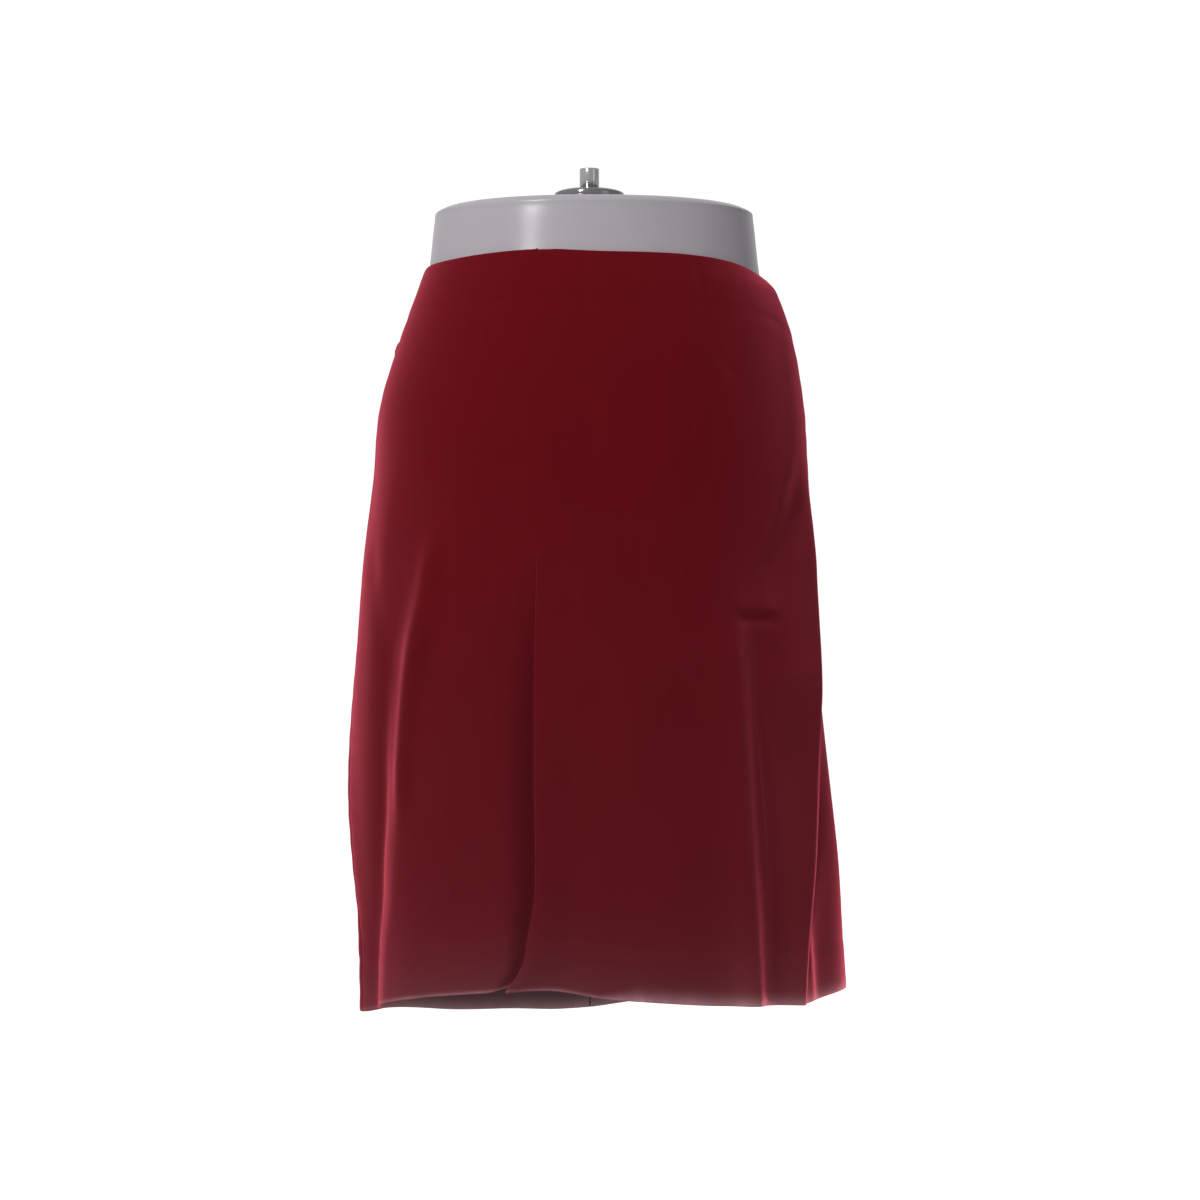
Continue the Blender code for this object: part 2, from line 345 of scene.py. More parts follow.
# The rod and its flange
ROD_EDGE = 0.0008
ROD_CLEARANCE = 0.0003
FLANGE_RIM = 0.0081
CORNER_STEPS = 6
DOME_STEPS = 18
TURN_SIDES = 96
MERGED_WITHIN = 0.00005
ROD_GREY = 0.62
# The flange's darker grey is painted shade, standing in for the dark room that its dome reflects
FLANGE_SHADED_GREY = 0.30

# Finish of the cloth. The hem has a painted highlight along its edge, a painted glow of light
# above it and painted glare on its turned-up inside; the highlight is wider and the glow paler on
# the viewer's right, which begins, grows and has gone again at these distances round the skirt
# from the middle of its front.
HIGHLIGHT_WIDENS_FROM = (0.010, 0.045)
PALER_GLOW_FROM = (0.100, 0.130)
SHORT_OF_BACK = (0.42, 0.28)
HIGHLIGHT_WIDENING = 2.8
HIGHLIGHT_REACH_INSIDE = 0.016
HIGHLIGHT_PATCHINESS = 0.12
SHARPNESS = (4.0, 3.3)
SHARPNESS_INSIDE = 2.4
PALER_EDGE_INSIDE = 3.6
PALER_GLOW_RIGHT = 1.45
SLOW_GLOW = 0.24
STEEP_GLOW = 0.95
STEEPNESS = 16.0
INSIDE_GLARE_HEIGHT = 0.045
INSIDE_GLARE_LEAST = 0.35

# How strongly streaks, painted shade on turned side edges and gaps between yarns show, and how
# dark they are
STREAKS = (0.30, 0.80)
EDGE_PAINTED_SHADE = (0.8, 0.5)
YARN_GAPS = (0.25, 0.6)
BARE_YARN_GAPS = (0.4, 0.5)
FIBRE_RELIEF = 0.6
YARN_RELIEF = 0.4

# The room's brightness by direction, where each axis runs from -1 to 1
ROOM_SIDES = (0.9, -0.9)
ROOM_ACROSS = (-0.2, 0.9)
ROOM_OVERHEAD = (1.00, 0.68)
ROOM_UNDERFOOT = (0.75, 0.85)
ROOM_UPWARDS = (-0.8, 0.8)
ROOM_BACKWARDS = (0.40, 0.95)
WHITE_STRENGTH = 1.05
FLOOR_RADIUS = 9.0
EDGE_SPREAD_DEGREES = 48

# Camera, with its lens and sensor in millimetres
EYE = (0.0083, -2.2, -0.339)
LENS = 83.94
SENSOR_WIDTH = 36.0


# Shapes


def smooth_step(start, end, value):
    share = np.clip((value - start) / (end - start), 0.0, 1.0)
    return share * share * (3.0 - 2.0 * share)


def bell(distance, half_width):
    return np.exp(-((distance / half_width) ** 2))


def read_table(rows, at, column):
    """A smooth curve through one column of a table whose first column rises."""
    table = np.array([[row[0], row[column]] for row in rows], float)
    places, values = table[:, 0], table[:, 1]
    before = np.concatenate([[0], np.arange(len(rows) - 1)])
    after = np.concatenate([np.arange(1, len(rows)), [len(rows) - 1]])
    slopes = (values[after] - values[before]) / (places[after] - places[before])
    at = np.clip(at, places[0], places[-1])
    low = np.clip(np.searchsorted(places, at, side="right") - 1, 0, len(rows) - 2)
    step = places[low + 1] - places[low]
    t = (at - places[low]) / step
    return (
        values[low] * (1 + 2 * t) * (1 - t) ** 2
        + slopes[low] * step * t * (1 - t) ** 2
        + values[low + 1] * t * t * (3 - 2 * t)
        + slopes[low + 1] * step * t * t * (t - 1)
    )


def angle_between(angle, other):
    return (angle - other + 180.0) % 360.0 - 180.0


def section_place(angle, left, right, front, back, power):
    """Places on a rounded section with its own half size on each of the four sides."""
    across, along = np.sin(np.radians(angle)), -np.cos(np.radians(angle))
    width = np.where(across > 0, right, left)
    depth = np.where(along > 0, back, front)
    radius = (np.abs(across / width) ** power + np.abs(along / depth) ** power) ** (-1 / power)
    return radius * across, radius * along


def skirt_base(angle, drop):
    """The skirt's section without its folds, cut flat across each facet."""
    sizes = [read_table(SECTIONS, drop, column) for column in range(1, 5)]
    x, y = section_place(angle, *sizes, PLAN_POWER)
    for _, first_start, first_hem, last_start, last_hem, start in FACETS:
        down = np.clip((drop - start) / (LOWEST_DROP - start), 0.0, 1.0)
        first = first_start + (first_hem - first_start) * down
        last = last_start + (last_hem - last_start) * down
        share = np.clip(angle_between(angle, first) / (last - first), 0.0, 1.0)
        flattens = (start + ahead for ahead in FACET_FLATTENS)
        flat = smooth_step(*flattens, drop) * (share > 0) * (share < 1)
        first_x, first_y = section_place(first, *sizes, PLAN_POWER)
        last_x, last_y = section_place(last, *sizes, PLAN_POWER)
        x = x + flat * (first_x + (last_x - first_x) * share - x)
        y = y + flat * (first_y + (last_y - first_y) * share - y)
    return x, y


def outward(angle, drop):
    """The level direction square to the skirt."""
    step = 1.5
    after, before = skirt_base(angle + step, drop), skirt_base(angle - step, drop)
    x, y = after[0] - before[0], after[1] - before[1]
    length = np.hypot(x, y)
    return y / length, -x / length


def fold_shape(away, before, after, crest_radius):
    """1 at the crest, falling away on both sides at a rate that each side has for itself."""
    width = np.where(away < 0, before, after)
    if not crest_radius:
        return bell(away, width)
    return np.exp(-(np.hypot(away, crest_radius) - crest_radius) / width)


def fold_height(angle, drop, radius):
    """How far the folds move the cloth out."""
    total = 0.0
    for _, path, full, before, after, crest_radius, height in FOLDS:
        start = path[0][0]
        centre = read_table(path, drop, 1)
        away = np.radians(angle_between(angle, centre)) * radius
        shape = smooth_step(start, full, drop) * fold_shape(away, before, after, crest_radius)
        total = total + height * shape
    return total


def crease_height(angle, drop, radius):
    """How far the short creases move the cloth out."""
    total = 0.0
    for _, start_angle, start_drop, end_angle, end_drop, half_width, height in CREASES:
        across = np.radians(angle_between(angle, start_angle)) * radius
        down = drop - start_drop
        run = np.radians(end_angle - start_angle) * MEAN_RADIUS
        fall = end_drop - start_drop
        length = np.hypot(run, fall)
        share = (across * run + down * fall) / length**2
        away = (across * fall - down * run) / length
        ends = smooth_step(*CREASE_BEGINS, share) * (1 - smooth_step(*CREASE_ENDS, share))
        total = total + height * ends * bell(away, half_width)
    return total


def seam_height(angle, drop, radius):
    """The dip of the seams and its puckers."""
    total = 0.0
    pucker = np.sin(2 * np.pi * drop / SEAM_PUCKER_PITCH)
    for seam in (LEFT_SEAM, RIGHT_SEAM, BACK_SEAM):
        away = np.radians(angle_between(angle, seam)) * radius
        dip = -SEAM_DIP * bell(away, SEAM_DIP_WIDTH)
        total = total + dip + SEAM_PUCKER * pucker * bell(away, SEAM_PUCKER_WIDTH)
    return total


def ripple_height(angle, drop):
    """The cloth's slow unevenness, weaker over the hips where it is stretched."""
    total = 0.0
    for round_waves, down_waves, phase, height in RIPPLES:
        turn = round_waves * np.radians(angle) + 2 * np.pi * down_waves * drop + phase
        total = total + height * np.sin(turn)
    return total * (RIPPLES_ABOVE + (1 - RIPPLES_ABOVE) * smooth_step(*RIPPLES_GROW, drop))


def free_edge_angle(drop):
    """The angle at which the overlap's free edge lies, found by halving."""
    across = read_table(FREE_EDGE, drop, 1)
    low, high = (np.full(np.shape(drop), angle) for angle in (-60.0, 0.0))
    halvings = 20
    for _ in range(halvings):
        middle = (low + high) / 2
        short = skirt_base(middle, drop)[0] < across
        low, high = np.where(short, middle, low), np.where(short, high, middle)
    return (low + high) / 2


def edges_at(panel, angle):
    """The drops of the waist and hem lines."""
    turn = angle_between(angle, 0.0)
    lift = UNDERLAP_LIFT * smooth_step(*UNDERLAP_LIFTS, turn) * (panel == "front_underlap")
    return read_table(WAIST_EDGE, turn, 1), read_table(HEM_EDGE, turn, 1) - lift


def print_height(from_fold, turning):
    """The low step, with a dip beside it, where the end of a turning prints through."""
    from_end = from_fold - turning
    step = PRINT_STEP * (1 - smooth_step(-PRINT_WIDTH, PRINT_WIDTH, from_end))
    return step - PRINT_DIP * bell(from_end - PRINT_WIDTH, PRINT_WIDTH)


def cloth_surface(panel, angle, drop):
    """Points on a panel's outer face, as an array whose last axis is x, y, z."""
    x, y = skirt_base(angle, drop)
    radius = np.hypot(x, y)
    out_x, out_y = outward(angle, drop)
    out = fold_height(angle, drop, radius)
    out = out + crease_height(angle, drop, radius) + ripple_height(angle, drop)
    out = out + seam_height(angle, drop, radius)
    cloth = bpy.context.scene.skirt_cloth
    waist, hem = edges_at(panel, angle)
    out = out + print_height(hem - drop, cloth.hem_turn)
    out = out + print_height(drop - waist, cloth.waist_turn)
    lap = LAP_OPEN * smooth_step(*LAP_OPENS, drop)
    from_edge = np.radians(angle - free_edge_angle(drop)) * radius
    covered = 1 - smooth_step(LAP_ENDS, LAP_GONE, angle)
    if panel == "front_underlap":
        lip = UNDERLAP_LIP * (1 - smooth_step(*LAP_OPENS, drop))
        rise = (lip + beside for beside in LIP_RISE)
        pressed = smooth_step(*rise, from_edge) * covered
        shrunk = smooth_step(*HOLLOW_SHRINKS, drop)
        under_lap = WIDER_UNDER_LAP * HOLLOW_WIDTH
        width = np.where(from_edge < HOLLOW_CENTRE, HOLLOW_WIDTH, under_lap)
        width = width * (1 - NARROWER_AT_HEM * shrunk)
        depth = HOLLOW_DEPTH * smooth_step(*HOLLOW_GROWS, drop)
        depth = depth * (1 - SHALLOWER_AT_HEM * shrunk)
        out = out - (LAP_OPEN - lap) * pressed
        out = out - depth * bell(from_edge - HOLLOW_CENTRE, width)
    if panel == "front_overlap":
        lift = EDGE_LIFT * smooth_step(*EDGE_LIFTS, drop)
        out = out + lap * covered + lift * bell(from_edge, EDGE_LIFT_WIDTH)
    return np.stack([x + out_x * out, y + out_y * out, -drop], -1)


def unit(vectors):
    return vectors / np.linalg.norm(vectors, axis=-1, keepdims=True)


def spaced(steps, closer_at=None):
    """Shares from 0 to 1, evenly spaced or else closer together about one of them."""
    share = np.linspace(0.0, 1.0, steps + 1)
    if closer_at is None:
        return share
    crowd = 1.0 + CROWDING * bell(share - closer_at, CROWD_WIDTH)
    run = np.concatenate([[0.0], np.cumsum(crowd[1:] + crowd[:-1])])
    return np.interp(share, run / run[-1], share)


def edge_to_edge(face, first_turn, last_turn):
    """Stations from one turned edge of a piece of cloth to the other: the share of the way
    across, the angle round the fold at the edge, and the distance back inside."""
    inside = np.linspace(1.0, 0.0, TURN_STEPS, endpoint=False)
    rolling = np.linspace(np.pi, 0.0, ROLL_STEPS, endpoint=False)
    flat = np.zeros(len(face))
    half_turn, none = np.full(TURN_STEPS, np.pi), np.zeros(ROLL_STEPS)
    before, after = np.zeros(TURN_STEPS + ROLL_STEPS), np.ones(TURN_STEPS + ROLL_STEPS)
    share = np.concatenate([before, face, after])
    roll = np.concatenate([-half_turn, -rolling, flat, rolling[::-1], half_turn])
    tucked = [inside * first_turn, none, flat, none, inside[::-1] * last_turn]
    return share, roll, np.concatenate(tucked)


def directions(panel, angle, drop):
    """Directions round, down and out of the cloth."""
    turn, fall = 0.4, 0.001
    around = cloth_surface(panel, angle + turn, drop) - cloth_surface(panel, angle - turn, drop)
    below = cloth_surface(panel, angle, drop + fall) - cloth_surface(panel, angle, drop - fall)
    around, below = unit(around), unit(below)
    return around, below, unit(np.cross(around, -below))


def room_along(panel, edge, fall, depth):
    """How far it is to a degree beside one side edge, that deep under the outer face."""
    step = 0.2
    waist, hem = edges_at(panel, edge)
    drop = waist + (hem - waist) * fall
    before, after = (
        cloth_surface(panel, angle, drop) - depth * directions(panel, angle, drop)[2]
        for angle in (edge - step, edge + step)
    )
    return np.linalg.norm(after - before, axis=-1) / (2 * step)


def cloth_points(panel, first, last, across, down, cloth):
    """The outer face of a panel with all four of its edges turned in."""
    share, side_roll, side_tuck = (values[np.newaxis, :] for values in across)
    fall, end_roll, end_tuck = (values[:, np.newaxis] for values in down)
    side, end = np.sign(side_roll), np.sign(end_roll)
    margin = cloth.edge_roll + cloth.seam_gap / 2
    before, after = (
        margin / room_along(panel, edge, fall, cloth.edge_roll) for edge in (first, last)
    )
    angle = first + before + (last - first - before - after) * share
    angle = angle - side * np.degrees(side_tuck / MEAN_RADIUS)

    waist, hem = edges_at(panel, angle)
    if panel.startswith("front"):
        follow = 1 - smooth_step(0.0, OVERLAP_SETTLED, np.abs(angle - OVERLAP_START))
        level = waist + (hem - waist) * fall - end * end_tuck
        angle = angle + (free_edge_angle(level) - OVERLAP_START) * follow
    to_edge = np.minimum(share, 1 - share) * np.radians(last - first) * MEAN_RADIUS + side_tuck
    thick = 1 - smooth_step(cloth.seam_turn, cloth.seam_turn + THICK_BESIDE_SEAM, to_edge)
    end_radius = cloth.hem_roll + (cloth.thick_roll - cloth.hem_roll) * thick
    waist, hem = edges_at(panel, angle)
    top, bottom = waist + end_radius, hem - end_radius
    drop = top + (bottom - top) * fall - end * end_tuck

    around, below, out = directions(panel, angle, drop)
    side_depth = cloth.edge_roll * (1 - np.cos(side_roll))
    end_reach = end_radius - side_depth
    depth = end_radius - end_reach * np.cos(end_roll)
    shift = cloth.edge_roll * np.sin(side_roll)
    sink = end_reach * np.sin(end_roll)
    points = cloth_surface(panel, angle, drop)
    points = points + around * shift[..., np.newaxis] + below * sink[..., np.newaxis]
    points = points - out * depth[..., np.newaxis]
    values = {
        "above_hem": hem - drop,
        "turned_in": np.broadcast_to(smooth_step(*TURNED_IN, np.abs(end_roll)), drop.shape),
        "pressed": np.broadcast_to(smooth_step(*SHADED_SIDE_TURN, np.abs(side_roll)), drop.shape),
    }
    return points, angle, drop, values


# Meshes


def object_with_mesh(name, build):
    mesh = bpy.data.meshes.new(name)
    build.to_mesh(mesh)
    build.free()
    made = bpy.data.objects.new(name, mesh)
    bpy.context.scene.collection.objects.link(made)
    return made


def coordinates(mesh):
    values = np.empty(len(mesh.vertices) * 3)
    mesh.vertices.foreach_get("co", values)
    return values.reshape(-1, 3)


def set_coordinates(mesh, points):
    mesh.vertices.foreach_set("co", np.ascontiguousarray(points, np.float32).ravel())
    mesh.update()


def add_value(mesh, name, values):
    layer = mesh.attributes.new(name, "FLOAT", "POINT")
    layer.data.foreach_set("value", np.ascontiguousarray(values, np.float32).ravel())


def add_cloth_map(mesh, around, down):
    """The place of each corner on the flat cloth, in metres, for weave and nap."""
    corners = np.empty(len(mesh.loops), np.int32)
    mesh.loops.foreach_get("vertex_index", corners)
    layer = mesh.uv_layers.new(name="cloth")
    places = np.stack([around.ravel()[corners], down.ravel()[corners]], 1)
    layer.data.foreach_set("uv", places.astype(np.float32).ravel())


def finish_piece(made, node, slot, *materials):
    for material in materials:
        made.data.materials.append(material)
    made.data.shade_smooth()
    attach(made, BODY)
    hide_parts(node)
    return made


def cloth_panel(name, node, first, last, columns):
    """A shell of cloth on its solid's form, with its edges turned in all round."""
    cloth = bpy.context.scene.skirt_cloth
    closer_at = (OVERLAP_START - first) / (last - first) if name == "front_underlap" else None
    across = edge_to_edge(spaced(columns, closer_at), cloth.seam_turn, cloth.seam_turn)
    down = edge_to_edge(spaced(ROWS), cloth.waist_turn, cloth.hem_turn)
    points, angle, drop, values = cloth_points(name, first, last, across, down, cloth)
    rows, count = angle.shape

    build = bmesh.new()
    bmesh.ops.create_grid(build, x_segments=count - 1, y_segments=rows - 1, size=0.5)
    made = object_with_mesh(name, build)
    plan = coordinates(made.data)
    column = np.rint((plan[:, 0] + 0.5) * (count - 1)).astype(int)
    row = np.rint((0.5 - plan[:, 1]) * (rows - 1)).astype(int)
    set_coordinates(made.data, points[row, column])
    for kind, value in values.items():
        add_value(made.data, kind, value[row, column])
    around = np.radians(angle) * MEAN_RADIUS
    add_cloth_map(made.data, around[row, column], -drop[row, column])

    wall = made.modifiers.new("cloth", "SOLIDIFY")
    wall.thickness = cloth.thickness
    wall.offset = -1.0
    wall.material_offset = 1
    materials = skirt_cloth(), skirt_wrong_side()
    return finish_piece(made, node, "skirt_cloth", *materials)


def drawn_form():
    """A sphere drawn out to the form's sections, ring by ring."""
    build = bmesh.new()
    bmesh.ops.create_uvsphere(build, u_segments=FORM_SIDES, v_segments=FORM_RINGS, radius=1.0)
    made = object_with_mesh("form_moulding", build)
    ball = coordinates(made.data)
    rows = [(float(i), *row) for i, row in enumerate(FORM)]
    level = np.hypot(ball[:, 0], ball[:, 1])
    from_top = np.arctan2(level, ball[:, 2]) / np.pi * (len(FORM) - 1)
    angle = np.degrees(np.arctan2(ball[:, 0], -ball[:, 1]))
    drop, half_width, front, back = (read_table(rows, from_top, i) for i in range(1, 5))
    half_width, front, back = (np.maximum(v, SMALLEST_RING) for v in (half_width, front, back))
    x, y = section_place(angle, half_width, half_width, front, back, FORM_POWER)
    set_coordinates(made.data, np.stack([x + FORM_SHIFT, y, -drop], 1))
    return made


def turned(name, profile):
    """A profile of (radius, height) pairs turned round the rod's axis, from its top downwards."""
    build = bmesh.new()
    points = [build.verts.new((radius, 0.0, height)) for radius, height in profile]
    for first, second in zip(points, points[1:]):
        build.edges.new((first, second))
    made = object_with_mesh(name, build)
    screw = made.modifiers.new("turn", "SCREW")
    screw.steps = screw.render_steps = TURN_SIDES
    screw.use_merge_vertices = True
    screw.merge_threshold = MERGED_WITHIN
    return made


def rounded(corner_radius, corner_height, radius):
    """A quarter round from the top of a rod over to its side."""
    turns = np.radians(np.linspace(0, 90, CORNER_STEPS + 1))
    return [
        (corner_radius + radius * np.sin(turn), corner_height + radius * np.cos(turn))
        for turn in turns
    ]


# Materials


class Nodes:
    """Adds and links the nodes of one material or group."""

    def __init__(self, tree):
        self.tree = tree

    def feed(self, node, inputs):
        """Each input takes the output given for it, or else the plain value."""
        for name, value in inputs.items():
            if isinstance(value, bpy.types.NodeSocket):
                self.tree.links.new(value, node.inputs[name])
            else:
                node.inputs[name].default_value = value
        return node

    def add(self, kind, inputs=None, **settings):
        node = self.tree.nodes.new(kind)
        for name, value in settings.items():
            setattr(node, name, value)
        return self.feed(node, inputs or {})

    def maths(self, operation, first, second=0.5, third=0.5, clamp=False):
        node = self.add("ShaderNodeMath", {0: first, 1: second, 2: third}, operation=operation)
        node.use_clamp = clamp
        return node.outputs[0]

    def spread(self, value, low, high, to_low=0.0, to_high=1.0):
        inputs = {"Value": value, 1: low, 2: high, 3: to_low, 4: to_high}
        return self.add("ShaderNodeMapRange", inputs, clamp=True).outputs[0]

    def noise(self, place, scale, detail=2.0):
        inputs = {"Vector": place, "Scale": scale, "Detail": detail}
        return self.add("ShaderNodeTexNoise", inputs).outputs["Fac"]

    def blend(self, share, first, second):
        inputs = {"Factor": share, "A": first, "B": second}
        return self.add("ShaderNodeMix", inputs).outputs[0]

    def mix(self, share, first, second):
        """A mixed colour: 0, 6 and 7 are the factor and the two colours, 2 the result."""
        inputs = {0: share, 6: first, 7: second}
        return self.add("ShaderNodeMix", inputs, data_type="RGBA").outputs[2]

    def group(self, tree, inputs):
        return self.add("ShaderNodeGroup", inputs, node_tree=tree)


def new_group(name, inputs, outputs):
    """A shader node group with float sockets, a Vector socket named Place, and its own nodes."""
    tree = bpy.data.node_groups.new(name, "ShaderNodeTree")
    for socket, default in inputs.items():
        kind = "NodeSocketVector" if default is None else "NodeSocketFloat"
        made = tree.interface.new_socket(name=socket, in_out="INPUT", socket_type=kind)
        if default is not None:
            made.default_value = default
    for socket in outputs:
        tree.interface.new_socket(name=socket, in_out="OUTPUT", socket_type="NodeSocketFloat")
    nodes = Nodes(tree)
    start = nodes.add("NodeGroupInput")
    end = nodes.add("NodeGroupOutput")
    return tree, nodes, start.outputs, end.inputs


def nap_group():
    """Short pile, laid down the cloth: streaks, patches and single fibres."""
    known = bpy.data.node_groups.get("Nap")
    if known:
        return known
    inputs = {"Place": None, "Fibre Size": 0.0006, "Patch Size": 0.05}
    outputs = ("Patches", "Streaks", "Fibres")
    tree, nodes, given, result = new_group("Nap", inputs, outputs)

    def noise(size, stretch, detail):
        scaled = nodes.add("ShaderNodeVectorMath", {0: given["Place"]}, operation="MULTIPLY")
        scaled.inputs[1].default_value = stretch
        return nodes.noise(scaled.outputs[0], nodes.maths("DIVIDE", 1.0, size), detail)

    patches = noise(given["Patch Size"], (1.0, 0.45, 1.0), 3.0)
    streak_size = nodes.maths("MULTIPLY", given["Fibre Size"], 6.0)
    streaks = noise(streak_size, (1.0, 0.09, 1.0), 2.0)
    fibres = noise(given["Fibre Size"], (1.0, 0.5, 1.0), 1.0)
    for value, name in ((patches, "Patches"), (streaks, "Streaks"), (fibres, "Fibres")):
        nodes.tree.links.new(nodes.spread(value, 0.25, 0.75), result[name])
    return tree


def weave_group():
    """Fine twill: yarns both ways and the slanting line that their floats make."""
    known = bpy.data.node_groups.get("Twill")
    if known:
        return known
    inputs = {"Place": None, "Yarn": 0.0004}
    tree, nodes, given, result = new_group("Twill", inputs, ("Height", "Gaps"))
    parts = nodes.add("ShaderNodeSeparateXYZ", {0: given["Place"]}).outputs

    def wave(value):
        turns = nodes.maths("DIVIDE", value, given["Yarn"])
        sine = nodes.maths("SINE", nodes.maths("MULTIPLY", turns, 2 * np.pi))
        return nodes.maths("MULTIPLY_ADD", sine, 0.5, 0.5)

    warp, weft = wave(parts["X"]), wave(parts["Y"])
    slant = nodes.maths("ADD", parts["X"], parts["Y"])
    yarns_to_a_float = 3.0
    floats = wave(nodes.maths("DIVIDE", slant, yarns_to_a_float))
    yarns = nodes.maths("MAXIMUM", nodes.maths("MULTIPLY", warp, floats), weft)
    nodes.tree.links.new(yarns, result["Height"])
    nodes.tree.links.new(nodes.maths("SUBTRACT", 1.0, yarns), result["Gaps"])
    return tree


def edge_highlight_group():
    """A soft mask for a painted highlight, growing towards a turned edge and broken up along it.
    """
    known = bpy.data.node_groups.get("Painted edge highlight")
    if known:
        return known
    inputs = {"Place": None, "Distance": 1.0, "Reach": 0.01, "Patchiness": 0.5}
    tree, nodes, given, result = new_group("Painted edge highlight", inputs, ("Mask",))
    share = nodes.maths("DIVIDE", given["Distance"], given["Reach"])
    near = nodes.maths("SUBTRACT", 1.0, share, clamp=True)
    patches = nodes.spread(nodes.noise(given["Place"], 60.0), 0.3, 0.7)
    with_highlight = nodes.maths("MULTIPLY", near, patches)
    kept = nodes.maths("SUBTRACT", 1.0, given["Patchiness"])
    plain = nodes.maths("MULTIPLY", near, kept)
    mask = nodes.maths("MULTIPLY_ADD", with_highlight, given["Patchiness"], plain)
    nodes.tree.links.new(mask, result["Mask"])
    return tree


def new_material(name):
    """A new material's nodes and its Principled shader."""
    made = bpy.data.materials.new(name)
    made.use_nodes = True
    nodes = Nodes(made.node_tree)
    return made, nodes, made.node_tree.nodes["Principled BSDF"]


def shade(colour, by):
    return (colour[0] * by, colour[1] * by, colour[2] * by, 1.0)


def uneven(nodes, share, colour, by):
    """A colour that varies that much either way."""
    return nodes.mix(share, shade(colour, 1 - by), shade(colour, 1 + by))


def darkened(nodes, mask, below, colour, strength, darkness):
    """The colour below, with a darker one where the mask is."""
    return nodes.mix(nodes.maths("MULTIPLY", mask, strength), below, shade(colour, darkness))


def finish_shader(nodes, shader, colour, roughness, bump, values):
    """The sockets of every finish: what changes over the surface, and the plain values."""
    normal = nodes.add("ShaderNodeBump", bump).outputs["Normal"]
    varying = {"Base Color": colour, "Roughness": roughness, "Normal": normal}
    nodes.feed(shader, {**varying, **values})


def skirt_cloth():
    """Dense crimson cloth with a short nap: deep when faced, pinkish where it turns away."""
    known = bpy.data.materials.get("skirt_cloth_finished")
    if known:
        return known
    cloth = bpy.context.scene.skirt_cloth
    made, nodes, shader = new_material("skirt_cloth_finished")
    place = nodes.add("ShaderNodeUVMap", uv_map="cloth").outputs["UV"]
    above_hem = nodes.add("ShaderNodeAttribute", attribute_name="above_hem").outputs["Fac"]
    turned_in = nodes.add("ShaderNodeAttribute", attribute_name="turned_in").outputs["Fac"]
    pressed = nodes.add("ShaderNodeAttribute", attribute_name="pressed").outputs["Fac"]
    nap = nodes.group(nap_group(), {"Place": place, "Fibre Size": cloth.fibre_size})
    twill = nodes.group(weave_group(), {"Place": place, "Yarn": cloth.yarn_pitch})
    across = nodes.add("ShaderNodeSeparateXYZ", {0: place}).outputs["X"]
    short_of_back = nodes.spread(across, *SHORT_OF_BACK)
    # Painted highlight along the hem's edge: wider and softer on the viewer's right, reaching
    # further on the turned-up inside
    on_right = nodes.maths("MULTIPLY", nodes.spread(across, *HIGHLIGHT_WIDENS_FROM), short_of_back)
    reach = nodes.blend(on_right, cloth.highlight_height, HIGHLIGHT_WIDENING * cloth.highlight_height)
    reach = nodes.blend(turned_in, reach, HIGHLIGHT_REACH_INSIDE)
    sharpness = nodes.blend(on_right, *SHARPNESS)
    sharpness = nodes.blend(turned_in, sharpness, SHARPNESS_INSIDE)
    highlight_inputs = {"Distance": above_hem, "Reach": reach, "Patchiness": HIGHLIGHT_PATCHINESS}
    edge_highlight = nodes.group(edge_highlight_group(), {"Place": place, **highlight_inputs})

    patched = uneven(nodes, nap.outputs["Patches"], cloth.colour, 0.05)
    streaked = darkened(nodes, nap.outputs["Streaks"], patched, cloth.colour, *STREAKS)
    # Painted glow of light: the colour turns paler and greyer towards the hem, standing in for
    # light from below and glare
    near_hem = nodes.spread(above_hem, cloth.glow_height, 0.0)
    steep = nodes.maths("MULTIPLY", nodes.maths("POWER", near_hem, STEEPNESS), STEEP_GLOW)
    glow_share = nodes.maths("MULTIPLY_ADD", near_hem, SLOW_GLOW, steep, clamp=True)
    # The painted glow is paler on the viewer's right, standing in for more light from that side
    far_right = nodes.maths("MULTIPLY", nodes.spread(across, *PALER_GLOW_FROM), short_of_back)
    paler = shade(cloth.hem_glow_colour, PALER_GLOW_RIGHT)
    glow_on_right = nodes.mix(far_right, (*cloth.hem_glow_colour, 1.0), paler)
    glowing = nodes.mix(glow_share, streaked, glow_on_right)
    # Painted glare greys the turned-up hem inside, most towards its edge
    inside = nodes.spread(above_hem, INSIDE_GLARE_HEIGHT, 0.0, INSIDE_GLARE_LEAST, 1.0)
    inside = nodes.maths("MULTIPLY", turned_in, inside)
    with_inside_glare = nodes.mix(inside, glowing, (*cloth.inside_glare_colour, 1.0))
    # Paler painted highlight at the hem's edge outside, brighter painted glare at its edge inside
    pale = nodes.maths("POWER", edge_highlight.outputs["Mask"], sharpness)
    edge_inside = shade(cloth.inside_glare_colour, PALER_EDGE_INSIDE)
    edge = nodes.mix(turned_in, (*cloth.hem_highlight_colour, 1.0), edge_inside)
    with_highlight = nodes.mix(pale, with_inside_glare, edge)
    # Painted shade darkens the turned side edges and seams, dimming the sheen along the overlap's
    # free edge
    with_edge_shade = darkened(nodes, pressed, with_highlight, cloth.colour, *EDGE_PAINTED_SHADE)
    coloured = darkened(nodes, twill.outputs["Gaps"], with_edge_shade, cloth.colour, *YARN_GAPS)

    fibres = nodes.maths("MULTIPLY", nap.outputs["Fibres"], FIBRE_RELIEF)
    height = nodes.maths("MULTIPLY_ADD", twill.outputs["Height"], YARN_RELIEF, fibres)
    bump = {"Height": height, "Strength": 0.35, "Distance": 0.00012}
    roughness = nodes.spread(nap.outputs["Streaks"], 0.0, 1.0, 0.78, 0.92)
    values = {
        "Specular IOR Level": 0.0,
        "Sheen Weight": cloth.sheen,
        "Sheen Roughness": cloth.sheen_roughness,
        "Sheen Tint": (*cloth.sheen_tint, 1.0),
    }
    finish_shader(nodes, shader, coloured, roughness, bump, values)
    return made


